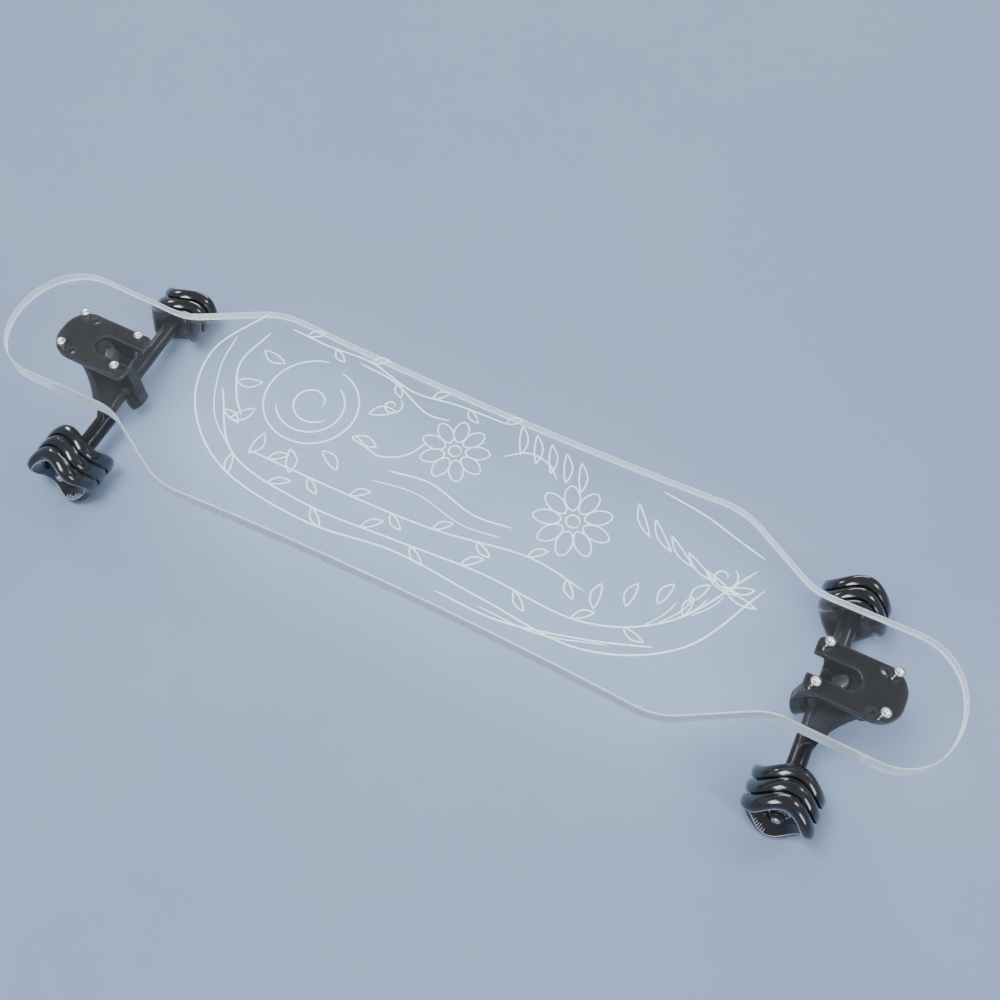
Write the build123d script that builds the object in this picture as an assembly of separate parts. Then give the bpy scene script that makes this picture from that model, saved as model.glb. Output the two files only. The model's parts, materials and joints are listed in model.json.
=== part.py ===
from build123d import *
import os
from math import cos, degrees, radians, sin

# A longboard with a clear acrylic deck on two reverse-kingpin trucks.
# +X is the nose of the board, +Y its left side, +Z up; the origin is on the ground under the middle.

# Deck
deck_length = 987.0
deck_thick = 18.0
deck_top_z = 119.0
waist_half = 107.0
shoulder_x = 252.0
shoulder_half = 113.9
neck_x = 338.0
neck_half = 64.3
neck_end_half = 66.2
end_radius = 80.0
shoulder_fillet = 73.0
neck_fillet = 56.0
corner_fillet = 55.0
deck_edge_round = 1.5

# Deck screws (#10-32, countersunk, cross recess) and their lock nuts
bolt_mid_x = 396.35
bolt_dx = 31.75
bolt_dy = 20.65
screw_r = 2.4
screw_hole_r = 2.55
screw_head_r = 4.9
screw_head_high = 2.9
screw_length = 31.0
recess_wide = 1.1
recess_long = 5.2
recess_deep = 1.7
deck_nut_flats = 9.5
deck_nut_high = 4.6

# Steering geometry of a truck, measured outwards from the middle of the board
ring_x = 408.0
ring_z = 71.0
steer_tilt = 50.0
axle_x = 385.0
axle_z = 35.0

# Baseplate casting
plate_thick = 6.0
plate_inner_x = 356.0
plate_outer_x = 444.0
plate_half = 28.5
plate_inner_round = 5.0
plate_outer_round = 24.0
pocket_half = 10.25
pocket_end_x = 403.0
cheek_half = 14.5
seat_near = 16.5
seat_far = 21.5
seat_inner = 13.0
seat_outer = 17.0
lip_x = 373.0
lip_z = 79.0
lip_thick = 4.0
rib_half = 5.5
rib_clear = 10.5
spare_hole_x = 418.4
plate_hole_r = 2.7
pivot_face = 53.0
pivot_floor = 64.0
pivot_back = 66.5
pivot_house_r = 10.5
cup_r = 8.0

# Kingpin, bushings, washers
kingpin_r = 4.7625
kingpin_flats = 14.3
kingpin_head_high = 5.3
kingpin_end = 29.5
bushing_r = 14.5
cone_tip_r = 11.0
upper_washer_thick = 1.5
washer_thick = 2.0
road_seat = 16.0
kingpin_nut_high = 9.0
fit_gap = 0.05
face_gap = 0.1

# Hanger
ring_half = 4.5
ring_r = 18.5
ring_end = 19.0
ring_bore_r = 8.0
beam_r = 9.25
beam_half = 90.0
nose_r = 5.0
nose_centre = 57.0
nose_root_r = 8.0
cup_gap = 0.15
wing_mid = 27.5
wing_half = 58.0

# Axle and wheel stack, measured from the middle of the truck
axle_r = 4.0
axle_half = 124.0
wheel_y = 103.0
washer_stack = 1.0
bearing_wide = 7.0
bearing_r = 11.0
bearing_pitch_r = 7.5
ball_r = 1.95
groove_r = 2.0
race_inner_r = 6.1
race_outer_r = 8.9
ball_count = 7
shield_thick = 0.4
axle_nut_flats = 12.7
axle_nut_high = 6.0

# Wheel
wheel_r = 35.0
core_r = 19.0
core_half = 12.0
core_bore_r = 8.0
ridge_pitch = 14.5
ridge_half = 5.65
ridge_shoulder_r = 33.7
groove_floor_r = 29.5
rim_half = 21.7
rim_r = 27.2
wave_high = 4.6
wave_count = 3
wave_steps = 12
wave_starts = {"front_left": 63.0, "front_right": 1.5, "rear_left": 20.0, "rear_right": 17.0}

deck_bottom_z = deck_top_z - deck_thick
plate_bottom_z = deck_bottom_z - plate_thick
ring_point = Vector(ring_x, 0, ring_z)
steer_axis = Vector(cos(radians(steer_tilt)), 0, sin(radians(steer_tilt)))
kingpin_axis = Vector(sin(radians(steer_tilt)), 0, -cos(radians(steer_tilt)))
# Local axes: x along the steering axis (outwards and up), z along the kingpin (towards the road).
truck_plane = Plane(origin=ring_point, x_dir=steer_axis, z_dir=kingpin_axis)
# Local z along the steering axis, for the pivot.
pivot_plane = Plane(origin=ring_point, x_dir=kingpin_axis, z_dir=steer_axis)


def spot(along, down):
    """Point (x, z) of the truck's middle plane, from distances along the two truck axes."""
    point = ring_point + steer_axis * along + kingpin_axis * down
    return (point.X, point.Z)


def disc(radius, start, end):
    """Cylinder on local z from start to end."""
    return Pos(0, 0, start) * Cylinder(radius, end - start, align=(Align.CENTER, Align.CENTER, Align.MIN))


def tube(outer, inner, start, end):
    """Plain ring on local z from start to end."""
    return disc(outer, start, end) - disc(inner, start - 1, end + 1)


def hexagon(flats, start, end, turn=0.0):
    """Hexagonal prism on local z, its flats facing local y when turn is 0."""
    outline = RegularPolygon(flats / 2, 6, major_radius=False, rotation=turn)
    return Pos(0, 0, start) * extrude(outline, end - start)


def hex_nut(flats, bore, start, end, collar_end):
    """Lock nut: a hexagon with rounded corners and a thin round collar."""
    body = hexagon(flats, start, end) & chamfered_disc(flats * 0.575, start, end)
    collar = disc(flats * 0.43, end, collar_end)
    return body + collar - disc(bore, start - 1, collar_end + 1)


def chamfered_disc(radius, start, end):
    """Disc that trims the sharp corners of a hexagon at both faces."""
    whole = disc(radius, start, end)
    return chamfer(whole.edges().filter_by(GeomType.CIRCLE), 0.6)


def make_deck():
    """Clear sheet: arcs along the sides, necks over the trucks, rounded ends, countersunk holes."""
    half_length = deck_length / 2
    end_x = half_length - end_radius + (end_radius**2 - neck_end_half**2) ** 0.5
    side = ThreePointArc((-shoulder_x, shoulder_half), (0, waist_half), (shoulder_x, shoulder_half))
    slope = Line((shoulder_x, shoulder_half), (neck_x, neck_half))
    neck = Line((neck_x, neck_half), (end_x, neck_end_half))
    end = ThreePointArc((end_x, neck_end_half), (half_length, 0), (end_x, -neck_end_half))
    right = [slope, neck]
    lower = [mirror(edge, Plane.XZ) for edge in right + [side]]
    left = [mirror(edge, Plane.YZ) for edge in [slope, neck, end] + lower[:2]]
    outline = make_face([side, end] + right + lower + left)
    for x, radius in ((shoulder_x, shoulder_fillet), (neck_x, neck_fillet), (end_x, corner_fillet)):
        corners = [v for v in outline.vertices() if abs(abs(v.X) - x) < 0.01]
        outline = fillet(corners, radius)
    deck = Pos(0, 0, deck_bottom_z) * extrude(outline, deck_thick)
    rims = deck.edges().group_by(Axis.Z)
    deck = fillet(rims[0] + rims[-1], deck_edge_round)
    for x, y in screw_spots(1) + screw_spots(-1):
        deck -= Pos(x, y, 0) * disc(screw_hole_r, deck_bottom_z - 1, deck_top_z + 1)
        deck -= Pos(x, y, deck_top_z - screw_head_high) * head_cone(face_gap)
    return deck


def screw_spots(side):
    """The four screw places of one truck."""
    xs = (bolt_mid_x - bolt_dx, bolt_mid_x + bolt_dx)
    return [(side * x, y) for x in xs for y in (-bolt_dy, bolt_dy)]


def head_cone(grow):
    """Countersunk head, its top face at local z = screw_head_high."""
    cone = Cone(screw_r + grow, screw_head_r + grow, screw_head_high, align=(Align.CENTER, Align.CENTER, Align.MIN))
    return cone


def make_deck_screws(side):
    """Four countersunk screws with a cross recess."""
    head = head_cone(0)
    shank = disc(screw_r, screw_head_high - screw_length, 0.5)
    slot = Box(recess_long, recess_wide, recess_deep) + Box(recess_wide, recess_long, recess_deep)
    slot = Pos(0, 0, screw_head_high - recess_deep / 2) * slot
    screw = head + shank - slot
    return [Pos(x, y, deck_top_z - screw_head_high) * screw for x, y in screw_spots(side)]


def make_deck_nuts(side):
    """Four small lock nuts under the baseplate."""
    low = plate_bottom_z - deck_nut_high
    nut = hex_nut(deck_nut_flats, screw_r + fit_gap, 0, deck_nut_high * 0.7, deck_nut_high)
    nut = Pos(0, 0, low + deck_nut_high) * Rot(180, 0, 0) * nut
    return [Pos(x, y, 0) * nut for x, y in screw_spots(side)]


def make_baseplate():
    """Cast plate: open kingpin pocket with cheeks and a lip, kingpin seat, rib and pivot housing."""
    plate_mid = (plate_inner_x + plate_outer_x) / 2
    outline = Pos(plate_mid, 0) * Rectangle(plate_outer_x - plate_inner_x, 2 * plate_half)
    inner = [v for v in outline.vertices() if v.X < plate_mid]
    outline = fillet(inner, plate_inner_round)
    outer = [v for v in outline.vertices() if v.X > plate_outer_x - 0.01]
    outline = fillet(outer, plate_outer_round)
    plate = Pos(0, 0, plate_bottom_z) * extrude(outline, plate_thick)
    plate = chamfer(plate.edges().group_by(Axis.Z)[0], 1.2)

    slot_end = pocket_end_x - pocket_half
    slot_start = plate_inner_x - 20
    slot = Pos((slot_start + slot_end) / 2, 0) * Rectangle(slot_end - slot_start, 2 * pocket_half)
    slot += Pos(slot_end, 0) * Circle(pocket_half)
    plate -= Pos(0, 0, plate_bottom_z - 1) * extrude(slot, plate_thick + 2)

    seat_low = spot(-seat_inner, -seat_near)
    seat_top = spot(-seat_inner, -seat_far)
    seat_end = spot(seat_outer, -seat_near)
    cheek_line = Polyline(
        (lip_x - 7, plate_bottom_z + 1),
        (seat_end[0], plate_bottom_z + 1),
        seat_end,
        seat_low,
        (seat_low[0] - 5, seat_low[1] - 0.5),
        (lip_x - 1.5, lip_z - lip_thick),
        (lip_x - 3, lip_z + 1),
        close=True,
    )
    cheeks = extrude(Plane.XZ * make_face(cheek_line), cheek_half, both=True)
    hollow_line = Polyline(
        (lip_x - 20, lip_z + 8),
        (lip_x, lip_z),
        seat_top,
        seat_low,
        (seat_low[0] + 8, seat_low[1] - 12),
        (seat_low[0] + 40, seat_low[1] - 12),
        (seat_low[0] + 40, deck_top_z),
        (lip_x - 20, deck_top_z),
        close=True,
    )
    cheeks -= extrude(Plane.XZ * make_face(hollow_line), pocket_half, both=True)

    rib_line = Polyline(
        (lip_x, lip_z - 1),
        (seat_top[0], seat_top[1] - 1),
        spot(-seat_inner - 0.5, -seat_near - 0.5),
        spot(-seat_inner - 7, -rib_clear - 0.5),
        spot(-pivot_face, -rib_clear),
        spot(-pivot_face, 0),
        spot(-pivot_back, 0),
        spot(-pivot_back, -pivot_house_r + 2),
        spot(-pivot_face, -rib_clear - 6),
        close=True,
    )
    rib = extrude(Plane.XZ * make_face(rib_line), rib_half, both=True)

    seat = Box(seat_inner + seat_outer, 2 * cheek_half, seat_far - seat_near)
    seat = truck_plane * Pos((seat_outer - seat_inner) / 2, 0, -(seat_far + seat_near) / 2) * seat
    housing = disc(pivot_house_r, -pivot_back, -pivot_face)
    housing = pivot_plane * fillet(housing.edges().group_by(Axis.Z)[0], 2)
    casting = plate + cheeks + seat + rib + housing
    casting -= truck_plane * disc(kingpin_r + fit_gap, -seat_far - 12, -seat_near + 12)
    casting -= pivot_plane * disc(cup_r + fit_gap, -pivot_floor, -pivot_face + 5)
    holes = screw_spots(1) + [(spare_hole_x, -bolt_dy), (spare_hole_x, bolt_dy)]
    for x, y in holes:
        casting -= Pos(x, y, 0) * disc(plate_hole_r, plate_bottom_z - 1, deck_bottom_z + 1)
    return casting


def make_pivot_cup():
    """Urethane cup in which the hanger's nose turns."""
    inside_r = nose_r + cup_gap
    cup = disc(cup_r, -pivot_floor + fit_gap, -pivot_face + 0.6)
    cup -= disc(inside_r, -nose_centre, -pivot_face + 5)
    cup -= Pos(0, 0, -nose_centre) * Sphere(inside_r)
    return pivot_plane * cup


def make_kingpin():
    """Bolt with its hexagon head in the baseplate pocket."""
    head = hexagon(kingpin_flats, -seat_far - kingpin_head_high, -seat_far)
    head &= chamfered_disc(kingpin_flats * 0.575, -seat_far - kingpin_head_high, -seat_far)
    return truck_plane * (head + disc(kingpin_r, -seat_far - 1, kingpin_end))


def make_board_bushing():
    """Barrel bushing between the upper cup washer and the hanger ring."""
    top = -seat_near + upper_washer_thick
    barrel = disc(bushing_r, top + face_gap, -ring_half - face_gap)
    barrel = fillet(barrel.edges(), 1.5)
    return truck_plane * (barrel - disc(kingpin_r + fit_gap, -seat_near - 5, 0))


def make_road_bushing():
    """Cone bushing between the hanger ring and the lower cup washer."""
    high = road_seat - ring_half - 2 * face_gap
    cone = Cone(bushing_r, cone_tip_r, high, align=(Align.CENTER, Align.CENTER, Align.MIN))
    cone = Pos(0, 0, ring_half + face_gap) * fillet(cone.edges().filter_by(GeomType.CIRCLE), 1.2)
    return truck_plane * (cone - disc(kingpin_r + fit_gap, 0, road_seat + 5))


def make_upper_washer():
    """Flat cup washer under the kingpin seat."""
    low = -seat_near + fit_gap
    return truck_plane * tube(bushing_r, kingpin_r + fit_gap, low, low + upper_washer_thick - 2 * fit_gap)


def make_lower_washer():
    """Cup washer between the cone bushing and the kingpin nut."""
    return truck_plane * tube(cone_tip_r + 1, kingpin_r + fit_gap, road_seat, road_seat + washer_thick)


def make_kingpin_nut():
    """Lock nut at the road end of the kingpin."""
    start = road_seat + washer_thick + fit_gap
    end = start + kingpin_nut_high
    return truck_plane * hex_nut(kingpin_flats, kingpin_r + fit_gap, start, end - 2.5, end)


def make_hanger():
    """Round arms, wings that sweep to the kingpin ring, and the pivot nose."""
    beam = Pos(axle_x, 0, axle_z) * Rot(90, 0, 0) * disc(beam_r, -beam_half, beam_half)
    beam = chamfer(beam.edges().filter_by(GeomType.CIRCLE), 1.0)

    offset = Vector(axle_x, 0, axle_z) - ring_point
    beam_along = offset.dot(steer_axis)
    beam_down = offset.dot(kingpin_axis)
    sweep = ThreePointArc((8, ring_r), (-14, wing_mid), (beam_along, wing_half))
    wing_line = [sweep, mirror(sweep, Plane.XZ)]
    wing_line += [Line((beam_along, wing_half), (beam_along, -wing_half)), Line((8, ring_r), (8, -ring_r))]
    plan = make_face(wing_line) + Pos(ring_end - 15, 0) * RectangleRounded(30, 2 * ring_r, 9)
    plan = extrude(plan, 60, both=True)

    side_line = Polyline(
        (ring_end + 1, -ring_half),
        (ring_end + 1, ring_half),
        (-ring_r, ring_half),
        (beam_along + beam_r * 0.5, beam_down + beam_r * 0.85),
        (beam_along - 1, beam_down + beam_r * 0.85),
        (beam_along - 1, beam_down - beam_r * 0.85),
        (beam_along + beam_r, beam_down - beam_r * 1.05),
        (-ring_r, -ring_half),
        close=True,
    )
    side = extrude(Plane.XZ * make_face(side_line), 2 * wing_half, both=True)
    wings = truck_plane * (plan & side)

    nose = disc(nose_r, -nose_centre, beam_along)
    nose += Pos(0, 0, -nose_centre) * Sphere(nose_r)
    root = Cone(nose_r, nose_root_r, 5, align=(Align.CENTER, Align.CENTER, Align.MIN))
    nose += Pos(0, 0, -pivot_face + 1.3) * root
    nose += disc(nose_root_r, -pivot_face + 6.3, beam_along + 3)
    hanger = beam + wings + pivot_plane * nose
    hanger -= truck_plane * disc(ring_bore_r, -30, 30)
    hanger -= Pos(axle_x, 0, axle_z) * Rot(90, 0, 0) * disc(axle_r + fit_gap, -beam_half - 1, beam_half + 1)
    return hanger


def on_axle(shape):
    """Puts a shape made along local z onto the axle line, its local z along +Y."""
    return Pos(axle_x, 0, axle_z) * Rot(-90, 0, 0) * shape


def both_ends(shape):
    """A shape made at +Y of the axle, and its mirror at -Y."""
    return [on_axle(shape), mirror(on_axle(shape), Plane.XZ)]


def make_axle():
    """Through axle with chamfered ends."""
    axle = disc(axle_r, -axle_half, axle_half)
    return on_axle(chamfer(axle.edges().filter_by(GeomType.CIRCLE), 0.8))


def bearing_starts():
    """Inner faces of the two bearings of the wheel at +Y, from the middle of the truck."""
    return (wheel_y - core_half, wheel_y + core_half - bearing_wide)


def make_speed_washers():
    """Thin washers each side of every wheel."""
    bore = axle_r + fit_gap
    first = wheel_y - core_half - washer_stack
    second = wheel_y + core_half
    inner = tube(6.0, bore, first + fit_gap, first + washer_stack - fit_gap)
    outer = tube(6.0, bore, second + fit_gap, second + washer_stack - fit_gap)
    return both_ends(inner) + both_ends(outer)


def make_inner_races():
    """Grooved inner races, which stay still on the axle."""
    pieces = []
    for start in bearing_starts():
        race = tube(race_inner_r, axle_r + fit_gap, start, start + bearing_wide)
        race -= Pos(0, 0, start + bearing_wide / 2) * Torus(bearing_pitch_r, groove_r)
        pieces += both_ends(race)
    return pieces


def make_spacers():
    """Sleeves between the two bearings of each wheel."""
    near, far = bearing_starts()
    return both_ends(tube(5.3, axle_r + fit_gap, near + bearing_wide + fit_gap, far - fit_gap))


def make_axle_nuts():
    """Lock nuts at the axle ends."""
    start = wheel_y + core_half + washer_stack
    end = start + axle_nut_high
    return both_ends(hex_nut(axle_nut_flats, axle_r + fit_gap, start, end - 1.8, end))


def make_outer_races():
    """Grooved outer races, pressed into the wheel core."""
    pieces = []
    for start in bearing_starts():
        race = tube(bearing_r, race_outer_r, start, start + bearing_wide)
        race -= Pos(0, 0, start + bearing_wide / 2) * Torus(bearing_pitch_r, groove_r)
        pieces.append(on_axle(race))
    return pieces


def make_balls():
    """Seven balls in each bearing."""
    pieces = []
    for start in bearing_starts():
        for index in range(ball_count):
            turn = Rot(0, 0, index * 360 / ball_count)
            ball = turn * Pos(bearing_pitch_r, 0, start + bearing_wide / 2) * Sphere(ball_r)
            pieces.append(on_axle(ball))
    return pieces


def make_shields():
    """Thin shields that close the open face of each bearing."""
    near, far = bearing_starts()
    outer_r = race_outer_r - fit_gap
    inner_r = race_inner_r + 0.15
    first = tube(outer_r, inner_r, near + 0.3, near + 0.3 + shield_thick)
    last = far + bearing_wide - 0.3
    second = tube(outer_r, inner_r, last - shield_thick, last)
    return [on_axle(first), on_axle(second)]


def make_core():
    """Hard wheel core with a bearing seat at each end."""
    core = disc(core_r, -core_half, core_half)
    core -= disc(core_bore_r, -core_half - 1, core_half + 1)
    core -= disc(bearing_r + fit_gap, -core_half - 1, -core_half + bearing_wide)
    core -= disc(bearing_r + fit_gap, core_half - bearing_wide, core_half + 1)
    return on_axle(Pos(0, 0, wheel_y) * core)


def tyre_section(angle, start):
    """Face of the tyre at one angle round the axle; the rims and ridges follow the wave."""
    shift = wave_high * sin(radians(wave_count * (angle + start)))
    hub_in = (core_r, -core_half)
    hub_out = (core_r, core_half)
    corner = ridge_pitch + ridge_half
    lip = (rim_half + corner) / 2 + 0.7
    lip_r = (rim_r + ridge_shoulder_r) / 2 + 0.5
    edges = [Line(hub_in, (rim_r, shift - rim_half))]
    edges.append(ThreePointArc((rim_r, shift - rim_half), (lip_r, shift - lip), (ridge_shoulder_r, shift - corner)))
    for index in (-1, 0, 1):
        middle = shift + index * ridge_pitch
        low = (ridge_shoulder_r, middle - ridge_half)
        high = (ridge_shoulder_r, middle + ridge_half)
        edges.append(ThreePointArc(low, (wheel_r, middle), high))
        if index < 1:
            gap_half = ridge_pitch / 2 - ridge_half
            centre = middle + ridge_pitch / 2
            near = (groove_floor_r + gap_half, centre - gap_half)
            far = (groove_floor_r + gap_half, centre + gap_half)
            edges.append(Line(high, near))
            edges.append(ThreePointArc(near, (groove_floor_r, centre), far))
            edges.append(Line(far, (ridge_shoulder_r, centre + gap_half)))
    edges.append(ThreePointArc((ridge_shoulder_r, shift + corner), (lip_r, shift + lip), (rim_r, shift + rim_half)))
    edges.append(Line((rim_r, shift + rim_half), hub_out))
    edges.append(Line(hub_out, hub_in))
    turn = radians(angle)
    plane = Plane(origin=(0, 0, 0), x_dir=(cos(turn), 0, sin(turn)), z_dir=(-sin(turn), 0, cos(turn)))
    return plane * make_face(edges)


def make_tyre(start):
    """Urethane tyre: one wave is lofted and repeated round the wheel."""
    one_wave = 360 / wave_count
    sections = [tyre_section(step * one_wave / wave_steps, start) for step in range(wave_steps + 1)]
    sector = loft(sections)
    tyre = sector
    for index in range(1, wave_count):
        tyre += Rot(0, -index * one_wave, 0) * sector
    return Pos(axle_x, wheel_y, axle_z) * tyre


def save(name, pieces, side=1):
    """Writes one node; side -1 turns it to the rear truck."""
    solids = pieces if isinstance(pieces, list) else [pieces]
    turn = Rot(0, 0, 0 if side == 1 else 180)
    placed = [turn * solid for solid in solids]
    whole = placed[0] if len(placed) == 1 else Compound(placed)
    export_step(whole, "parts/" + name + ".step")


os.makedirs("parts", exist_ok=True)
save("deck", make_deck())

truck_makers = {
    "baseplate": make_baseplate,
    "pivot_cup": make_pivot_cup,
    "kingpin": make_kingpin,
    "board_bushing": make_board_bushing,
    "road_bushing": make_road_bushing,
    "upper_washer": make_upper_washer,
    "lower_washer": make_lower_washer,
    "kingpin_nut": make_kingpin_nut,
    "hanger": make_hanger,
    "axle": make_axle,
    "speed_washers": make_speed_washers,
    "inner_races": make_inner_races,
    "spacers": make_spacers,
    "axle_nuts": make_axle_nuts,
}
wheel_makers = {
    "outer_races": make_outer_races,
    "balls": make_balls,
    "shields": make_shields,
    "core": make_core,
}

for end, side in (("front", 1), ("rear", -1)):
    save(end + "_deck_screws", make_deck_screws(side))
    save(end + "_deck_nuts", make_deck_nuts(side))

for name, maker in truck_makers.items():
    made = maker()
    save("front_" + name, made, 1)
    save("rear_" + name, made, -1)

# The rear truck is the front one turned half round, so its -Y wheel comes from +Y and the reverse.
for name, maker in wheel_makers.items():
    made = maker()
    solids = made if isinstance(made, list) else [made]
    other = [mirror(solid, Plane.XZ) for solid in solids]
    save("front_left_" + name, solids, 1)
    save("front_right_" + name, other, 1)
    save("rear_right_" + name, solids, -1)
    save("rear_left_" + name, other, -1)

for corner, start in wave_starts.items():
    side = 1 if corner.startswith("front") else -1
    at_plus_y = corner in ("front_left", "rear_right")
    tyre = make_tyre(start)
    save(corner + "_tyre", tyre if at_plus_y else mirror(tyre, Plane.XZ), side)
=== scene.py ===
import json
import math

import bmesh
import bpy
from mathutils import Matrix, Vector


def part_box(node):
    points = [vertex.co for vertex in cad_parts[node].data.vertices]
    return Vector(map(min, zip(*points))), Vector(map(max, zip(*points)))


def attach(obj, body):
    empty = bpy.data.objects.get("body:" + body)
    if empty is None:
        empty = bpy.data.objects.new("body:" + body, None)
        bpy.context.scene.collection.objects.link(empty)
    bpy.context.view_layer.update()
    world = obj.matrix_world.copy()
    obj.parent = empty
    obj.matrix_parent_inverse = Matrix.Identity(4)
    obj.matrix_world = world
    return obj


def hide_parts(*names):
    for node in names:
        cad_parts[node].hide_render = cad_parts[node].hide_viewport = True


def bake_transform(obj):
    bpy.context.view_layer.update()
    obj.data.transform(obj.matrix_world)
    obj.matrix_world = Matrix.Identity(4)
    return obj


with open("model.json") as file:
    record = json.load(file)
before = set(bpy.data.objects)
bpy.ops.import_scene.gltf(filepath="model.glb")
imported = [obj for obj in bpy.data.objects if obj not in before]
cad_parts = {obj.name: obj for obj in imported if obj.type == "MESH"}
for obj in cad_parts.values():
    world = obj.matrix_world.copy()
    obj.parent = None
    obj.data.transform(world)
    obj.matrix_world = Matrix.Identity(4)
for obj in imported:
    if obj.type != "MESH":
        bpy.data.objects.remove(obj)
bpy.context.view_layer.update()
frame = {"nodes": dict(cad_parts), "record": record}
nodes = frame["nodes"]
MM = 0.001

# Places read from the frame, in metres.
deck_low, deck_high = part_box("deck")
tyre_low, tyre_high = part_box("front_left_tyre")
axle_low, axle_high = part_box("front_axle")
AXLE_X = (axle_low.x + axle_high.x) / 2
AXLE_Z = (axle_low.z + axle_high.z) / 2
WHEEL_R = (tyre_high.z - tyre_low.z) / 2
WHEEL_Y = (tyre_low.y + tyre_high.y) / 2
CORNERS = {"front_left": (1, 1), "front_right": (1, -1), "rear_left": (-1, 1), "rear_right": (-1, -1)}
ENDS = ("front", "rear")


# ---------------------------------------------------------------- materials

NOISE_ROUGHNESS = 0.55
# Pointiness range over which the painted edge highlight comes in.
EDGE_HIGHLIGHT_FROM = 0.535
EDGE_HIGHLIGHT_TO = 0.6
GRAIN_SHARE = 0.25
WELD_GAP = 0.002 * MM


class Paint:
    """One node material: a Principled shader and small helpers that feed it."""

    def __init__(self, name):
        self.material = bpy.data.materials.new(name)
        self.material.use_nodes = True
        self.tree = self.material.node_tree
        self.shader = self.tree.nodes["Principled BSDF"]
        self.place = self.add("ShaderNodeTexCoord").outputs["Object"]

    def add(self, kind, **settings):
        node = self.tree.nodes.new(kind)
        for key, value in settings.items():
            setattr(node, key, value)
        return node

    def link(self, source, target):
        self.tree.links.new(source, target)

    def put(self, **values):
        """Sets the shader's own sockets, with underscores for the spaces in their names."""
        for key, value in values.items():
            self.shader.inputs[key.replace("_", " ")].default_value = value

    def noise(self, scale, detail=4.0, stretch=(1, 1, 1)):
        """Noise in the object's own metres, drawn out along an axis by stretch."""
        mapping = self.add("ShaderNodeMapping")
        mapping.inputs["Scale"].default_value = stretch
        self.link(self.place, mapping.inputs["Vector"])
        node = self.add("ShaderNodeTexNoise")
        node.inputs["Scale"].default_value = scale
        node.inputs["Detail"].default_value = detail
        node.inputs["Roughness"].default_value = NOISE_ROUGHNESS
        self.link(mapping.outputs["Vector"], node.inputs["Vector"])
        return node.outputs["Fac"]

    def spread(self, value, low, high, start=0.3, end=0.7):
        """Maps a noise value to a range of numbers."""
        node = self.add("ShaderNodeMapRange")
        node.inputs["From Min"].default_value = start
        node.inputs["From Max"].default_value = end
        node.inputs["To Min"].default_value = low
        node.inputs["To Max"].default_value = high
        self.link(value, node.inputs["Value"])
        return node.outputs["Result"]

    def colours(self, value, low, high, start=0.3, end=0.7):
        """Maps a noise value to a blend of two colours."""
        node = self.add("ShaderNodeValToRGB")
        node.color_ramp.elements[0].position = start
        node.color_ramp.elements[0].color = (*low, 1)
        node.color_ramp.elements[1].position = end
        node.color_ramp.elements[1].color = (*high, 1)
        self.link(value, node.inputs["Fac"])
        self.link(node.outputs["Color"], self.shader.inputs["Base Color"])

    def bump(self, value, distance, strength):
        """Feeds a height to the shader's normal, distance in metres."""
        node = self.add("ShaderNodeBump")
        node.inputs["Strength"].default_value = strength
        node.inputs["Distance"].default_value = distance
        self.link(value, node.inputs["Height"])
        self.link(node.outputs["Normal"], self.shader.inputs["Normal"])

    def rough(self, value):
        self.link(value, self.shader.inputs["Roughness"])

    def lets_light_through(self, share):
        """Lets this share of each shadow ray pass, so that the sheet does not darken what is under it."""
        rays = self.add("ShaderNodeLightPath").outputs["Is Shadow Ray"]
        clear = self.add("ShaderNodeBsdfTransparent")
        clear.inputs["Color"].default_value = (share, share, share, 1)
        mix = self.add("ShaderNodeMixShader")
        self.link(rays, mix.inputs["Fac"])
        self.link(self.shader.outputs["BSDF"], mix.inputs[1])
        self.link(clear.outputs["BSDF"], mix.inputs[2])
        self.link(mix.outputs["Shader"], self.tree.nodes["Material Output"].inputs["Surface"])


def clear_acrylic():
    """Polished cast acrylic with faint wiping marks."""
    paint = Paint("clear_acrylic")
    paint.put(Transmission_Weight=1.0, IOR=1.49)
    paint.colours(paint.noise(6), (0.955, 0.975, 0.985), (0.985, 0.995, 1.0))
    paint.rough(paint.spread(paint.noise(90, stretch=(1, 6, 1)), 0.0, 0.03))
    paint.lets_light_through(0.85)
    return paint.material


def frosted_edge_painted_glow():
    """Sawn and flame-dulled acrylic edge, blue-white, with a painted glow: its emission stands in for the
    light the edge gathers from the sheet.
    """
    paint = Paint("frosted_edge_painted_glow")
    # The emission paints a faint blue-white glow on the edge, though the edge is no lamp.
    paint.put(Transmission_Weight=0.62, IOR=1.49, Emission_Color=(0.6, 0.78, 1.0, 1), Emission_Strength=0.22)
    paint.colours(paint.noise(60), (0.84, 0.92, 1.0), (0.94, 0.98, 1.0))
    paint.rough(paint.spread(paint.noise(300, stretch=(1, 1, 0.2)), 0.25, 0.4))
    paint.bump(paint.noise(1400, stretch=(1, 1, 0.3)), 0.00004, 0.3)
    paint.lets_light_through(0.6)
    return paint.material


def engraved_line_painted_glow():
    """Engraved grooves: white frosting with a faint painted glow, an emission that stands in for the light
    caught in the sheet.
    """
    paint = Paint("engraved_line_painted_glow")
    # The emission paints a glow on the lines, which makes them brighter than the floor seen through the
    # sheet.
    paint.put(Emission_Color=(0.55, 0.92, 1.0, 1), Emission_Strength=0.7)
    paint.colours(paint.noise(700), (0.74, 0.94, 1.0), (0.9, 0.99, 1.0))
    paint.rough(paint.spread(paint.noise(900), 0.55, 0.85))
    paint.bump(paint.noise(1800), 0.00006, 0.4)
    return paint.material


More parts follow.
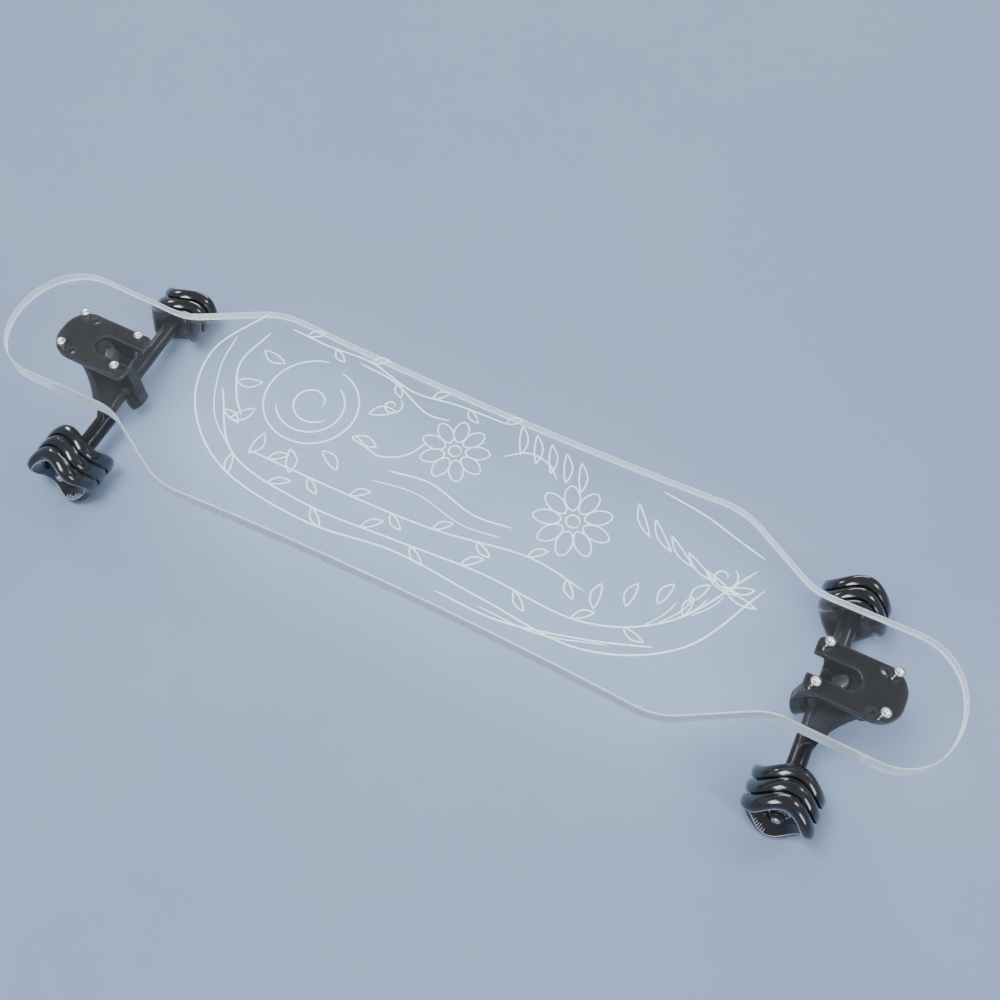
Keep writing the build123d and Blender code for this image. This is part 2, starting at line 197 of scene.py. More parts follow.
def satin_black(name, low, high, dull, shine, grain=700):
    """Satin black with a faint orange peel and random grain, and a painted highlight that lightens it along
    its ridges.
    """
    paint = Paint(name)
    paint.put(Coat_Weight=0.1, Coat_Roughness=0.15, Specular_IOR_Level=0.35)
    # Pointiness paints a highlight: the colour turns lighter along convex edges, where light catches them.
    ridge = paint.add("ShaderNodeNewGeometry").outputs["Pointiness"]
    painted_edge_highlight = paint.spread(ridge, 0.0, 1.0, EDGE_HIGHLIGHT_FROM, EDGE_HIGHLIGHT_TO)
    grain_and_edge_highlight = paint.add("ShaderNodeMath", operation="MULTIPLY_ADD")
    grain_and_edge_highlight.inputs[1].default_value = GRAIN_SHARE
    paint.link(paint.noise(420), grain_and_edge_highlight.inputs[0])
    paint.link(painted_edge_highlight, grain_and_edge_highlight.inputs[2])
    paint.colours(grain_and_edge_highlight.outputs["Value"], low, high, 0.1, 0.9)
    paint.rough(paint.spread(paint.noise(500), shine, dull))
    paint.bump(paint.noise(grain, detail=2), 0.00006, 0.45)
    return paint.material


def gloss_urethane():
    """Cast black urethane: a gloss broken by faint flow marks."""
    paint = Paint("gloss_urethane")
    paint.put(Coat_Weight=0.6, Coat_Roughness=0.06)
    paint.colours(paint.noise(60), (0.006, 0.006, 0.008), (0.014, 0.014, 0.018))
    paint.rough(paint.spread(paint.noise(150, stretch=(1, 3, 1)), 0.1, 0.24))
    paint.bump(paint.noise(260, detail=3), 0.00005, 0.35)
    return paint.material


def soft_rubber(name, colour):
    """Matt urethane or rubber of bushings, cups and bearing shields."""
    paint = Paint(name)
    lighter = tuple(c * 1.5 + 0.01 for c in colour)
    paint.colours(paint.noise(80), colour, lighter)
    paint.rough(paint.spread(paint.noise(200), 0.42, 0.62))
    paint.bump(paint.noise(900), 0.00005, 0.4)
    return paint.material


def bright_metal(name, colour, low, high, stretch=(1, 1, 1)):
    """Bare or plated steel with fine drawn marks."""
    paint = Paint(name)
    paint.put(Metallic=1.0)
    darker = tuple(c * 0.78 for c in colour)
    paint.colours(paint.noise(420, stretch=stretch), darker, colour)
    paint.rough(paint.spread(paint.noise(900, stretch=stretch), low, high))
    paint.bump(paint.noise(1500, stretch=stretch), 0.00003, 0.4)
    return paint.material


def printed_line():
    """Silver print on the wheel rims."""
    paint = Paint("printed_line")
    paint.put(Metallic=0.3)
    paint.colours(paint.noise(1200), (0.62, 0.64, 0.7), (0.86, 0.88, 0.93))
    paint.rough(paint.spread(paint.noise(1500), 0.3, 0.5))
    return paint.material


ACRYLIC = clear_acrylic()
EDGE = frosted_edge_painted_glow()
ENGRAVED = engraved_line_painted_glow()
CASTING = satin_black("casting_black", (0.004, 0.004, 0.005), (0.11, 0.11, 0.13), 0.33, 0.27)
OXIDE = satin_black("oxide_black", (0.02, 0.02, 0.022), (0.045, 0.045, 0.05), 0.42, 0.26, 1300)
NYLON = satin_black("nylon_black", (0.014, 0.014, 0.016), (0.024, 0.024, 0.026), 0.6, 0.45, 1000)
URETHANE = gloss_urethane()
BUSHING = soft_rubber("bushing_black", (0.016, 0.016, 0.02))
CUP = soft_rubber("cup_black", (0.012, 0.012, 0.013))
SHIELD = soft_rubber("shield_black", (0.018, 0.018, 0.02))
STAINLESS = bright_metal("stainless_screw", (0.86, 0.86, 0.88), 0.16, 0.3)
ZINC = bright_metal("zinc_plate", (0.72, 0.72, 0.75), 0.26, 0.42)
AXLE_STEEL = bright_metal("axle_steel", (0.6, 0.6, 0.62), 0.25, 0.4, (1, 0.1, 1))
RACE_STEEL = bright_metal("race_steel", (0.8, 0.8, 0.82), 0.1, 0.2)
PRINT = printed_line()

SLOT_PAINT = {
    "clear_acrylic": ACRYLIC,
    "stainless": STAINLESS,
    "zinc": ZINC,
    "black_casting": CASTING,
    "black_steel": OXIDE,
    "cup_urethane": CUP,
    "bushing_urethane": BUSHING,
    "axle_steel": AXLE_STEEL,
    "bearing_steel": RACE_STEEL,
    "bearing_shield": SHIELD,
    "black_nylon": NYLON,
    "black_urethane": URETHANE,
}


def paint_cad_nodes():
    """Every CAD node gets the material of its slot and clean shading."""
    for part in frame["record"]["subparts"]:
        piece = nodes[part["node"]]
        piece.data.materials.clear()
        piece.data.materials.append(SLOT_PAINT[part["material_slot"]])
        piece.data.shade_smooth()
        weld = piece.modifiers.new("weld", "WELD")
        weld.merge_threshold = WELD_GAP
        smooth_by_angle(piece)


def smooth_by_angle(piece, limit=32):
    """Marks edges sharper than the limit, so that flats stay flat and rounds stay round."""
    piece.data.set_sharp_from_angle(angle=math.radians(limit))


def place_piece(name, data, body, slot, *materials):
    """A new piece that rides on a body and takes the given materials; the slot argument is not used."""
    piece = bpy.data.objects.new(name, data)
    bpy.context.scene.collection.objects.link(piece)
    for material in materials:
        data.materials.append(material)
    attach(piece, body)
    return piece


# ---------------------------------------------------------------- deck sheet

HALF_LENGTH = deck_high.x
SHOULDER = Vector((252.0, 113.9)) * MM
NECK = Vector((338.0, 64.3)) * MM
WAIST_HALF = 107.0 * MM
NECK_END_HALF = 66.2 * MM
END_RADIUS = 80.0 * MM
SHOULDER_FILLET = 73.0 * MM
NECK_FILLET = 56.0 * MM
CORNER_FILLET = 55.0 * MM
EDGE_ROUND = 1.5 * MM
SHEET_TOP = deck_high.z - 0.05 * MM
SCREW_X = (364.6 * MM, 428.1 * MM)
SCREW_Y = 20.65 * MM
HOLE_R = 2.55 * MM
SINK_R = 5.0 * MM
SINK_DEEP = 2.9 * MM
HOLE_STEPS = 32
EDGE_STEPS = 5


def arc_points(centre, radius, start, end, steps):
    """Points along an arc, both ends included, angles in radians."""
    turns = [start + (end - start) * i / steps for i in range(steps + 1)]
    return [centre + radius * Vector((math.cos(t), math.sin(t))) for t in turns]


def touching_centre(on_line, direction, other, reach, ahead):
    """Point on a line at a given distance from another point; ahead picks the further one."""
    gap = on_line - other
    half = gap.dot(direction)
    root = math.sqrt(half * half - gap.length_squared + reach * reach)
    return on_line + direction * (-half + (root if ahead else -root))


def heading(point, centre):
    """Angle of a point seen from a centre."""
    return math.atan2(point.y - centre.y, point.x - centre.x)


def quarter_outline():
    """Edge of the board from the waist to the nose, in the quarter with +X and +Y."""
    rise = SHOULDER.y - WAIST_HALF
    side_r = (SHOULDER.x**2 + rise**2) / (2 * rise)
    side_c = Vector((0, WAIST_HALF + side_r))
    slope = (NECK - SHOULDER).normalized()
    inward = Vector((slope.y, -slope.x))
    end_c = Vector((HALF_LENGTH - END_RADIUS, 0))
    neck_end = Vector((end_c.x + math.sqrt(END_RADIUS**2 - NECK_END_HALF**2), NECK_END_HALF))
    along = (neck_end - NECK).normalized()
    below = Vector((along.y, -along.x))

    first = SHOULDER + inward * SHOULDER_FILLET
    first = touching_centre(first, slope, side_c, side_r + SHOULDER_FILLET, True)
    start = heading(side_c, first)
    points = arc_points(side_c, side_r, -math.pi / 2, heading(first, side_c), 24)
    points += arc_points(first, SHOULDER_FILLET, start, heading(first - inward, first), 18)[1:]

    turn = math.acos(slope.dot(along))
    reach = NECK_FILLET * math.tan(turn / 2)
    second = NECK - slope * reach - inward * NECK_FILLET
    begin = heading(second + inward, second)
    points += arc_points(second, NECK_FILLET, begin, begin + turn, 18)

    third = NECK + below * CORNER_FILLET
    third = touching_centre(third, along, end_c, END_RADIUS - CORNER_FILLET, True)
    last = heading(third, end_c)
    points += arc_points(third, CORNER_FILLET, heading(third - below, third), last, 30)
    points += arc_points(end_c, END_RADIUS, last, 0, 10)[1:]
    return points


def whole_outline():
    """The quarter mirrored twice into one anticlockwise loop."""
    quarter = quarter_outline()
    upper = [Vector((-p.x, p.y)) for p in reversed(quarter[1:])] + quarter
    lower = [Vector((p.x, -p.y)) for p in reversed(upper[1:-1])]
    loop = upper + lower
    loop.reverse()
    return loop


def outward(loop, index):
    """Outward normal of an anticlockwise loop at one point."""
    step = loop[(index + 1) % len(loop)] - loop[index - 1]
    return Vector((step.y, -step.x)).normalized()


def bridge(bm, low, high, material):
    """Quads between two rings with the same number of points."""
    for i in range(len(low)):
        j = (i + 1) % len(low)
        face = bm.faces.new((low[i], low[j], high[j], high[i]))
        face.smooth = True
        face.material_index = material


def cap(bm, rings, material):
    """Flat face with holes: the first ring is its rim, the others are holes."""
    edges = []
    for ring in rings:
        for i in range(len(ring)):
            edges.append(bm.edges.get((ring[i], ring[(i + 1) % len(ring)])))
    made = bmesh.ops.triangle_fill(bm, use_beauty=True, use_dissolve=False, edges=edges)
    for item in made["geom"]:
        if isinstance(item, bmesh.types.BMFace):
            item.smooth = False
            item.material_index = material


def make_deck_sheet():
    """The acrylic sheet with rounded frosted edges and countersunk screw holes."""
    bm = bmesh.new()
    loop = whole_outline()
    normals = [outward(loop, i) for i in range(len(loop))]
    profile = []
    for i in range(EDGE_STEPS + 1):
        turn = math.pi / 2 * i / EDGE_STEPS
        profile.append((EDGE_ROUND * (1 - math.sin(turn)), deck_low.z + EDGE_ROUND * (1 - math.cos(turn))))
    for i in range(EDGE_STEPS + 1):
        turn = math.pi / 2 * i / EDGE_STEPS
        profile.append((EDGE_ROUND * (1 - math.cos(turn)), SHEET_TOP - EDGE_ROUND * (1 - math.sin(turn))))
    rings = []
    for inset, height in profile:
        spots = [p - n * inset for p, n in zip(loop, normals)]
        rings.append([bm.verts.new((p.x, p.y, height)) for p in spots])
    for low, high in zip(rings, rings[1:]):
        bridge(bm, low, high, 1)

    tops, bottoms = [], []
    sections = ((SINK_R, SHEET_TOP), (HOLE_R, deck_high.z - SINK_DEEP), (HOLE_R, deck_low.z))
    for side in (-1, 1):
        for x in SCREW_X:
            for y in (-SCREW_Y, SCREW_Y):
                holes = []
                for radius, height in sections:
                    ring = arc_points(Vector((side * x, y)), radius, 0, math.tau, HOLE_STEPS)[:-1]
                    holes.append([bm.verts.new((p.x, p.y, height)) for p in ring])
                bridge(bm, holes[0], holes[1], 0)
                bridge(bm, holes[1], holes[2], 0)
                tops.append(holes[0])
                bottoms.append(holes[2])
    cap(bm, [rings[-1]] + tops, 0)
    cap(bm, [rings[0]] + bottoms, 0)
    bmesh.ops.recalc_face_normals(bm, faces=bm.faces[:])
    mesh = bpy.data.meshes.new("deck_sheet")
    bm.to_mesh(mesh)
    bm.free()
    sheet = place_piece("deck_sheet", mesh, "root", "clear_acrylic", ACRYLIC, EDGE)
    smooth_by_angle(sheet, 40)
    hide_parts("deck")


# ---------------------------------------------------------------- engraving

LINE_HALF = 0.75 * MM
FINE_HALF = 0.5 * MM
TAPER = 7.0 * MM
TIP_SHARE = 0.25
LINE_STEPS = 9
BLADE_STEPS = 16
LEAF_TURN = 38
CURL_X = -168
CURL_Y = 30


def smooth_line(points):
    """Evenly stepped points along a smooth open line through a few given ones."""
    knots = [Vector(p) for p in points]
    knots = [knots[0] * 2 - knots[1]] + knots + [knots[-1] * 2 - knots[-2]]
    line = []
    for a, b, c, d in zip(knots, knots[1:], knots[2:], knots[3:]):
        second = 2 * a - 5 * b + 4 * c - d
        third = 3 * b - 3 * c + d - a
        for i in range(LINE_STEPS):
            t = i / LINE_STEPS
            line.append(0.5 * (2 * b + (c - a) * t + second * t**2 + third * t**3))
    return line + [knots[-2]]


class Ornament:
    """Leaf-and-wave line work, drawn in millimetres as flat ribbons on the board's top face."""

    def __init__(self, name):
        self.name = name
        self.bm = bmesh.new()
        self.height = SHEET_TOP + 0.008 * MM

    def trace(self, points, half=LINE_HALF, closed=False):
        """A ribbon along worked-out points, thinner towards its free ends."""
        spots = [Vector(p) * MM for p in points]
        self.height += 0.0003 * MM
        run = [0.0]
        for a, b in zip(spots, spots[1:]):
            run.append(run[-1] + (b - a).length)
        left, right = [], []
        for i, spot in enumerate(spots):
            before = spots[i - 1] if i or closed else spot
            after = spots[(i + 1) % len(spots)] if i + 1 < len(spots) or closed else spot
            step = (after - before).normalized()
            reach = min(run[i], run[-1] - run[i])
            width = half if closed else half * min(1.0, TIP_SHARE + (1 - TIP_SHARE) * reach / TAPER)
            across = Vector((-step.y, step.x)) * width
            left.append(self.bm.verts.new((*(spot + across), self.height)))
            right.append(self.bm.verts.new((*(spot - across), self.height)))
        for i in range(len(spots) if closed else len(spots) - 1):
            j = (i + 1) % len(spots)
            self.bm.faces.new((left[i], right[i], right[j], left[j]))

    def stroke(self, points, half=LINE_HALF):
        """A smooth open line through a few points."""
        self.trace(smooth_line(points), half)

    def vine(self, points, every, length, width):
        """A smooth line with leaves set alternately on its two sides."""
        line = smooth_line(points)
        self.trace(line)
        side = 1
        gone = every / 2
        for a, b in zip(line, line[1:]):
            gone += (b - a).length
            if gone >= every:
                gone = 0.0
                turn = math.degrees(math.atan2(b.y - a.y, b.x - a.x)) + side * LEAF_TURN
                self.blade(b.x, b.y, turn, length, width, 0.9, side * 1.5)
                side = -side

    def blade(self, x, y, turn, length, width, power, bend=0.0):
        """A closed leaf from its root; a power under 1 rounds it into a petal."""
        cos_turn = math.cos(math.radians(turn))
        sin_turn = math.sin(math.radians(turn))
        left, right = [], []
        for i in range(BLADE_STEPS + 1):
            along = i / BLADE_STEPS
            half = width / 2 * math.sin(math.pi * along) ** power
            drift = bend * math.sin(math.pi * along)
            for side, row in ((1, left), (-1, right)):
                u = along * length
                v = side * half + drift
                row.append((x + u * cos_turn - v * sin_turn, y + u * sin_turn + v * cos_turn))
        self.trace(left + right[-2:0:-1], LINE_HALF * 0.85, True)

    def spiral(self, x, y, first, last, start, end, steps=60):
        """A curl whose radius runs from first to last between two angles in degrees."""
        points = []
        for i in range(steps + 1):
            share = i / steps
            radius = first + (last - first) * share
            turn = math.radians(start + (end - start) * share)
            points.append((x + radius * math.cos(turn), y + radius * math.sin(turn)))
        self.trace(points)

    def blossom(self, x, y, petals, near, length, width, start, sweep):
        """Petals fanned round a point, with a small ring in the middle."""
        for i in range(petals):
            turn = start + sweep * i / (petals - 1)
            root_x = x + near * math.cos(math.radians(turn))
            root_y = y + near * math.sin(math.radians(turn))
            self.blade(root_x, root_y, turn, length, width, 0.55)
        self.spiral(x, y, near * 0.6, near * 0.6, 0, 352, 24)

    def finish(self):
        """Turns the ribbons into a piece of the deck."""
        for face in self.bm.faces:
            face.normal_update()
            if face.normal.z < 0:
                face.normal_flip()
        mesh = bpy.data.meshes.new(self.name)
        self.bm.to_mesh(mesh)
        self.bm.free()
        place_piece(self.name, mesh, "root", "clear_acrylic", ENGRAVED)


def make_engraving():
    """A vine that sweeps the length of the board, with a ring of leaves and two blossoms."""
    art = Ornament("engraving")
    outer = [(-262, 104), (-288, 40), (-268, -24), (-206, -72), (-110, -86), (-20, -76)]
    art.stroke(outer + [(70, -82), (170, -86), (250, -44), (296, 40)])
    inner = [(-256, 6), (-206, -54), (-120, -70), (-30, -66), (60, -60), (160, -62)]
    art.vine(inner + [(232, -24), (284, 56)], 46, 22, 7)
    art.vine([(-196, -44), (-96, -44), (0, -40), (90, -26), (150, -34)], 40, 20, 7)
    art.stroke([(30, -94), (96, -94), (170, -76), (226, -56)])
    art.spiral(CURL_X, CURL_Y, 50, 44, 100, 440)
    art.spiral(CURL_X, CURL_Y, 36, 30, -150, 60)
    art.spiral(CURL_X, CURL_Y, 10, 24, 0, 330)
    for index in range(8):
        turn = 150 + index * 32
        x = CURL_X + 56 * math.cos(math.radians(turn))
        y = CURL_Y + 56 * math.sin(math.radians(turn))
        art.blade(x, y, turn + 20, 26, 10, 0.9, 2.0)
    art.vine([(-232, 98), (-190, 96), (-140, 98), (-88, 86), (-40, 92), (10, 94)], 34, 18, 7)
    art.stroke([(-150, 92), (-110, 88), (-66, 70), (-40, 72)])
    art.stroke([(-112, 16), (-84, 6), (-60, 18), (-48, 40)])
    art.blossom(-20, 44, 9, 10, 24, 14, -20, 320)
    art.blossom(112, 26, 9, 11, 27, 15, 35, 320)
    art.stroke([(-66, -4), (-24, 2), (26, -10), (66, -6)])
    art.stroke([(-76, -20), (-30, -14), (20, -24), (60, -20)], FINE_HALF)
    art.stroke([(24, 60), (44, 74), (66, 72), (80, 60)])
    for index in range(6):
        art.blade(160 + index * 20, 72 - index * 9, -52 + 8 * index, 36, 7, 0.95, -2.5)
    for index in range(5):
        art.blade(26 + index * 17, 99 - index * 3, -68, 32, 8, 0.9, 2.0)
    for index in range(4):
        art.blade(164 + index * 25, -46 + index * 15, 96 - 10 * index, 26, 9, 0.9, 2.0)
    art.spiral(258, 36, 3, 14, 0, 420)
    art.spiral(-98, 62, 2, 11, 0, 430)
    art.stroke([(-276, 66), (-270, 24), (-244, -26), (-196, -60)], FINE_HALF)
    art.stroke([(-248, 84), (-256, 40), (-240, 6), (-222, -14)])
    art.stroke([(176, 94), (220, 88), (256, 78), (286, 70)])
    art.stroke([(70, -90), (130, -90), (190, -72)], FINE_HALF)
    for index in range(4):
        start = 208 + index * 12
        bend = (start + 14, -24 + index * 9)
        art.stroke([(start, -44 + index * 10), bend, (start + 21, -6 + index * 8)], FINE_HALF)
    art.finish()


# ---------------------------------------------------------------- wheels

RIM_HALF = 21.7 * MM
RIM_R = 27.2 * MM
RIDGE_PITCH = 14.5 * MM
RIDGE_HALF = 5.65 * MM
SHOULDER_R = 33.7 * MM
FLOOR_R = 29.5 * MM
HUB_R = 19.0 * MM
HUB_HALF = 12.0 * MM
WAVE_HIGH = 4.6 * MM
WAVES = 3
WAVE_STARTS = {"front_left": 63.0, "front_right": 1.5, "rear_left": 20.0, "rear_right": 17.0}
WHEEL_STEPS = 180
PRINT_R = 0.32 * MM
PRINT_OUT = 0.1 * MM
PRINT_SINK = 0.14 * MM
TICK_SINK = 0.1 * MM
TICK_ROWS = (40, 220)
TICKS = 9
TICK_STEP = 5.2
TICK_LONG = 3.6
TICK_SHORT = 2.6


def three_point_arc(first, middle, last, steps):
    """Points after the first along the arc through three points."""
    ax, ay = first
    bx, by = middle
    cx, cy = last
    d = 2 * (ax * (by - cy) + bx * (cy - ay) + cx * (ay - by))
    a2, b2, c2 = ax * ax + ay * ay, bx * bx + by * by, cx * cx + cy * cy
    ux = (a2 * (by - cy) + b2 * (cy - ay) + c2 * (ay - by)) / d
    uy = (a2 * (cx - bx) + b2 * (ax - cx) + c2 * (bx - ax)) / d
    radius = math.hypot(ax - ux, ay - uy)
    start = math.atan2(ay - uy, ax - ux)
    mid = math.atan2(by - uy, bx - ux)
    end = math.atan2(cy - uy, cx - ux)
    if ((mid - start) % math.tau) > ((end - start) % math.tau):
        sweep = ((end - start) % math.tau) - math.tau
    else:
        sweep = (end - start) % math.tau
    turns = [start + sweep * i / steps for i in range(1, steps + 1)]
    return [(ux + radius * math.cos(t), uy + radius * math.sin(t)) for t in turns]


def tyre_profile():
    """(r, y, follows the wave) round the tyre's section, from the inner hub edge to the outer one."""
    corner = RIDGE_PITCH + RIDGE_HALF
    lip = (RIM_HALF + corner) / 2 + 0.7 * MM
    lip_r = (RIM_R + SHOULDER_R) / 2 + 0.5 * MM
    points = [(RIM_R, -RIM_HALF)]
    points += three_point_arc(points[-1], (lip_r, -lip), (SHOULDER_R, -corner), 5)
    for index in (-1, 0, 1):
        middle = index * RIDGE_PITCH
        points += three_point_arc(points[-1], (WHEEL_R, middle), (SHOULDER_R, middle + RIDGE_HALF), 12)
        if index < 1:
            gap_half = RIDGE_PITCH / 2 - RIDGE_HALF
            centre = middle + RIDGE_PITCH / 2
            wall_r = FLOOR_R + gap_half
            points.append((wall_r, centre - gap_half))
            points += three_point_arc(points[-1], (FLOOR_R, centre), (wall_r, centre + gap_half), 6)
            points.append((SHOULDER_R, centre + gap_half))
    points += three_point_arc(points[-1], (lip_r, lip), (RIM_R, RIM_HALF), 5)
    rows = [(HUB_R, -HUB_HALF, 0.0), (RIM_R * 0.5 + HUB_R * 0.5, -(RIM_HALF + HUB_HALF) / 2, 0.5)]
    rows += [(r, y, 1.0) for r, y in points]
    rows += [(RIM_R * 0.5 + HUB_R * 0.5, (RIM_HALF + HUB_HALF) / 2, 0.5), (HUB_R, HUB_HALF, 0.0)]
    return rows


def wheel_point(corner, r, y, turn):
    """A point of a wheel in the row frame."""
    side_x, side_y = CORNERS[corner]
    x = side_x * (AXLE_X + r * math.cos(turn))
    z = AXLE_Z + r * math.sin(turn)
    return Vector((x, side_y * (WHEEL_Y + y), z))


def wave(corner, turn):
    """Sideways shift of the ridges at an angle round the wheel."""
    return WAVE_HIGH * math.sin(WAVES * (turn + math.radians(WAVE_STARTS[corner])))


def make_tyre(corner):
    """Wavy three-ridged tyre."""
    bm = bmesh.new()
    profile = tyre_profile()
    columns = []
    for step in range(WHEEL_STEPS):
        turn = math.tau * step / WHEEL_STEPS
        shift = wave(corner, turn)
        spots = [wheel_point(corner, r, y + shift * share, turn) for r, y, share in profile]
        columns.append([bm.verts.new(spot) for spot in spots])
    count = len(profile)
    for step, column in enumerate(columns):
        ahead = columns[(step + 1) % WHEEL_STEPS]
        for i in range(count):
            j = (i + 1) % count
            face = bm.faces.new((column[i], column[j], ahead[j], ahead[i]))
            face.smooth = True
    bmesh.ops.recalc_face_normals(bm, faces=bm.faces[:])
    mesh = bpy.data.meshes.new(corner + "_wave_tyre")
    bm.to_mesh(mesh)
    bm.free()
    tyre = place_piece(corner + "_wave_tyre", mesh, corner + "_wheel", "black_urethane", URETHANE)
    smooth_by_angle(tyre, 38)
    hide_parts(corner + "_tyre")


def make_rim_print(corner):
    """Silver line along the outer rim, with two short rows of plain ticks."""
    curve = bpy.data.curves.new(corner + "_rim_line", "CURVE")
    curve.dimensions = "3D"
    curve.bevel_depth = PRINT_R
    curve.bevel_resolution = 1
    ring = curve.splines.new("POLY")
    ring.points.add(WHEEL_STEPS - 1)
    for step, knot in enumerate(ring.points):
        turn = math.tau * step / WHEEL_STEPS
        y = RIM_HALF - PRINT_SINK + wave(corner, turn)
        knot.co = (*wheel_point(corner, RIM_R + PRINT_OUT, y, turn), 1)
    ring.use_cyclic_u = True
    slope = (RIM_HALF - HUB_HALF) / (RIM_R - HUB_R)
    for row in TICK_ROWS:
        for index in range(TICKS):
            turn = math.radians(row + index * TICK_STEP)
            tick = curve.splines.new("POLY")
            tick.points.add(1)
            y = RIM_HALF - TICK_SINK + wave(corner, turn)
            reach = (TICK_SHORT if index % 3 else TICK_LONG) * MM
            tick.points[0].co = (*wheel_point(corner, RIM_R, y, turn), 1)
            tick.points[1].co = (*wheel_point(corner, RIM_R - reach, y - reach * slope * 1.05, turn), 1)
    place_piece(corner + "_rim_line", curve, corner + "_wheel", "black_urethane", PRINT)


# ---------------------------------------------------------------- bushings

STEER_TILT = math.radians(50)
RING_X = 408.0 * MM
RING_Z = 71.0 * MM
BUSHING_STEPS = 56
# (distance along the kingpin, outer radius, bore radius), from the washer to the hanger ring, in millimetres.
# The bore widens towards the ring, where the bushing swings with the hanger, so that it clears the kingpin.
BOARD_BUSHING = (
    (-14.9, 13.2, 5.0), (-14.5, 14.1, 5.2), (-13.6, 14.5, 6.0), (-12.0, 14.5, 6.8), (-9.8, 14.5, 7.4),
    (-7.6, 14.5, 7.7), (-6.0, 14.5, 7.8), (-5.1, 14.1, 7.8), (-4.65, 13.3, 7.8),
)
ROAD_BUSHING = (
    (15.95, 10.2, 5.0), (15.5, 10.9, 5.2), (14.6, 11.4, 6.0), (12.4, 12.1, 6.9), (10.2, 12.8, 7.5),
    (8.0, 13.5, 7.7), (6.2, 14.0, 7.8), (5.1, 13.9, 7.8), (4.65, 13.2, 7.8),
)


def truck_point(end, across, along, down):
    """A point of a truck from its ring: across the board, along the steering axis, down the kingpin."""
    side = 1 if end == "front" else -1
    x = RING_X + along * math.cos(STEER_TILT) + down * math.sin(STEER_TILT)
    z = RING_Z + along * math.sin(STEER_TILT) - down * math.cos(STEER_TILT)
    return Vector((side * x, across, z))


def make_bushing(end, name, rows):
    """Soft ring from its washer to the hanger ring."""
    bm = bmesh.new()
    loop = [(down, outer) for down, outer, _ in rows]
    loop += [(down, bore) for down, _, bore in reversed(rows)]
    turns = [math.tau * i / BUSHING_STEPS for i in range(BUSHING_STEPS)]
    rings = []
    for down, radius in loop:
        reach = radius * MM
        spots = [truck_point(end, reach * math.sin(t), reach * math.cos(t), down * MM) for t in turns]
        rings.append([bm.verts.new(spot) for spot in spots])
    for low, high in zip(rings, rings[1:] + rings[:1]):
        bridge(bm, low, high, 0)
    bmesh.ops.recalc_face_normals(bm, faces=bm.faces[:])
    mesh = bpy.data.meshes.new(end + name + "_soft")
    bm.to_mesh(mesh)
    bm.free()
    mesh.materials.append(BUSHING)
    piece = bpy.data.objects.new(end + name + "_soft", mesh)
    bpy.context.scene.collection.objects.link(piece)
    smooth_by_angle(piece, 50)
    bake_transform(piece)
    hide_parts(end + name)


# ---------------------------------------------------------------- castings

CASTING_VOXEL = 0.9 * MM


def make_casting(node, name, body, relax):
    """Cast look: the CAD shape with softened edges and filled-in inner corners."""
    mesh = nodes[node].data.copy()
    mesh.materials.clear()
    piece = place_piece(name, mesh, body, "black_casting", CASTING)
    remesh = piece.modifiers.new("remesh", "REMESH")
    remesh.mode = "VOXEL"
    remesh.voxel_size = CASTING_VOXEL
    relaxer = piece.modifiers.new("relax", "SMOOTH")
    relaxer.factor = 0.5
    relaxer.iterations = relax
    apply_modifiers(piece)
    piece.data.shade_smooth()
    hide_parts(node)


def apply_modifiers(piece):
    """Bakes a piece's modifiers into its mesh."""
    graph = bpy.context.evaluated_depsgraph_get()
    baked = bpy.data.meshes.new_from_object(piece.evaluated_get(graph))
    piece.modifiers.clear()
    piece.data = baked


# ---------------------------------------------------------------- stage

TARGET = Vector((41.9, 15.6, 0.0)) * MM
DISTANCE = 1060.0 * MM
AZIMUTH = 22.6
ELEVATION = 61.0
ROLL = 3.9
LENS = 40.86


def make_camera():
    """Camera at the reference viewing angle."""
    az, el, roll = (math.radians(v) for v in (AZIMUTH, ELEVATION, ROLL))
    back = Vector((math.sin(az) * math.cos(el), -math.cos(az) * math.cos(el), math.sin(el)))
    right = (-back).cross(Vector((0, 0, 1))).normalized()
    up = right.cross(-back)
    turned_right = right * math.cos(roll) + up * math.sin(roll)
    turned_up = up * math.cos(roll) - right * math.sin(roll)
    data = bpy.data.cameras.new("camera")
    data.lens = LENS
    data.sensor_width = 36.0
    camera = bpy.data.objects.new("camera", data)
    bpy.context.scene.collection.objects.link(camera)
    place = TARGET + Vector((0, 0, deck_high.z)) + back * DISTANCE
    turn = Matrix((turned_right, turned_up, back)).transposed()
    camera.matrix_world = Matrix.Translation(place) @ turn.to_4x4()
    bpy.context.scene.camera = camera


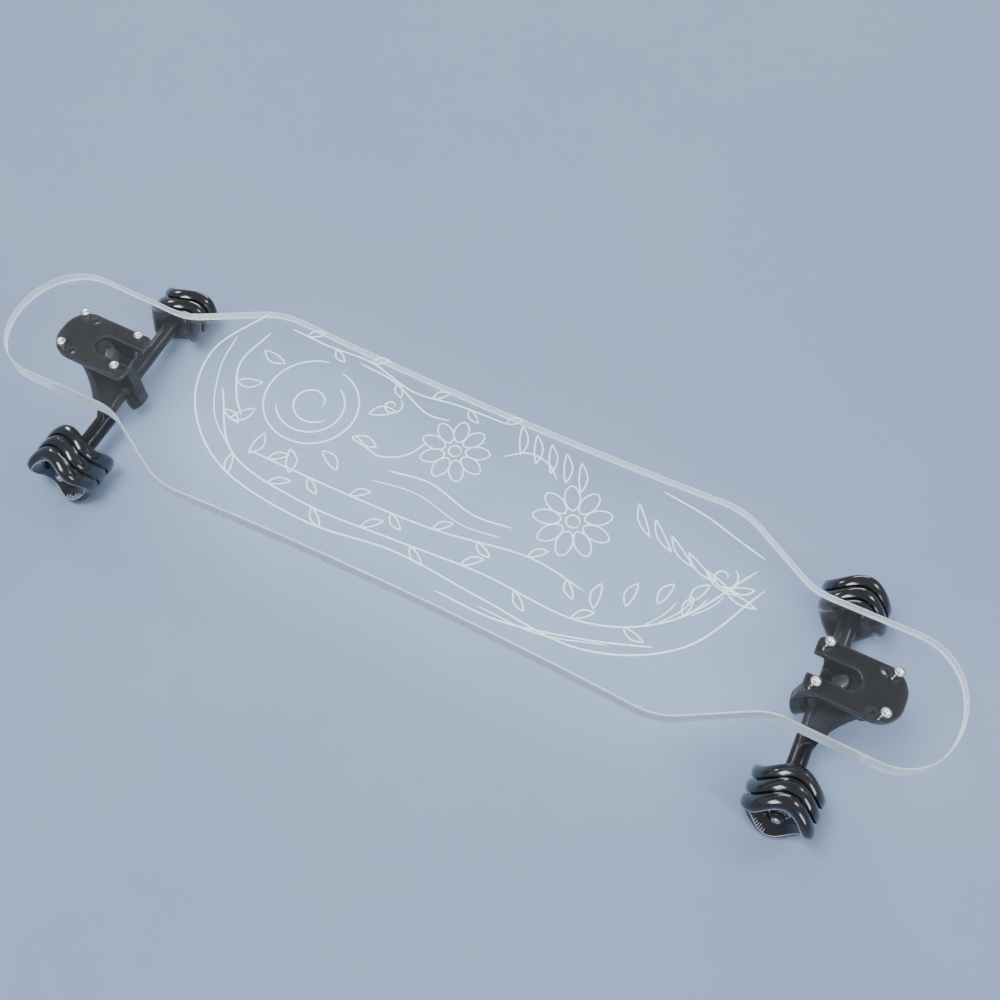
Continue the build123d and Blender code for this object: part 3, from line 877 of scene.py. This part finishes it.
def make_light(name, place, aim, size, power, colour=(1, 1, 1)):
    """Rectangular softbox that faces a point."""
    data = bpy.data.lights.new(name, "AREA")
    data.shape = "RECTANGLE"
    data.size, data.size_y = size
    data.energy = power
    data.color = colour
    light = bpy.data.objects.new(name, data)
    bpy.context.scene.collection.objects.link(light)
    place = Vector(place)
    turn = (place - Vector(aim)).to_track_quat("Z", "Y")
    light.matrix_world = Matrix.Translation(place) @ turn.to_matrix().to_4x4()


def make_floor():
    """Plain pale floor, very slightly mottled."""
    bm = bmesh.new()
    bmesh.ops.create_grid(bm, x_segments=1, y_segments=1, size=12)
    mesh = bpy.data.meshes.new("floor")
    bm.to_mesh(mesh)
    bm.free()
    floor = bpy.data.objects.new("floor", mesh)
    bpy.context.scene.collection.objects.link(floor)
    paint = Paint("pale_floor")
    paint.colours(paint.noise(3), (0.27, 0.36, 0.53), (0.285, 0.375, 0.545))
    paint.rough(paint.spread(paint.noise(40), 0.7, 0.85))
    mesh.materials.append(paint.material)


def make_world():
    """Even pale surroundings."""
    world = bpy.data.worlds.new("studio")
    world.use_nodes = True
    world.node_tree.nodes["Background"].inputs["Color"].default_value = (0.80, 0.86, 0.95, 1)
    world.node_tree.nodes["Background"].inputs["Strength"].default_value = 0.5
    bpy.context.scene.world = world


# ---------------------------------------------------------------- making

make_camera()
make_world()
make_floor()
make_light("key_softbox", (-0.4, -0.5, 2.1), (0, 0, 0.05), (1.0, 0.7), 36)
make_light("side_softbox", (1.9, -0.5, 1.3), (0.1, 0, 0.05), (0.5, 0.9), 14, (0.92, 0.96, 1.0))
make_light("back_strip", (-0.2, 2.2, 0.9), (0, 0, 0.05), (1.6, 0.3), 16)
make_light("right_facets", (1.5, 1.0, 1.7), (0.4, 0, 0.08), (0.4, 0.4), 9)
make_light("left_facets", (-1.9, 1.0, 1.1), (-0.4, 0, 0.08), (0.4, 0.4), 9)

paint_cad_nodes()
make_deck_sheet()
make_engraving()
for corner in CORNERS:
    make_tyre(corner)
    make_rim_print(corner)
for end in ENDS:
    make_bushing(end, "_board_bushing", BOARD_BUSHING)
    make_bushing(end, "_road_bushing", ROAD_BUSHING)
    make_casting(end + "_hanger", end + "_hanger_casting", end + "_hanger_body", 6)
    make_casting(end + "_baseplate", end + "_baseplate_casting", "root", 4)
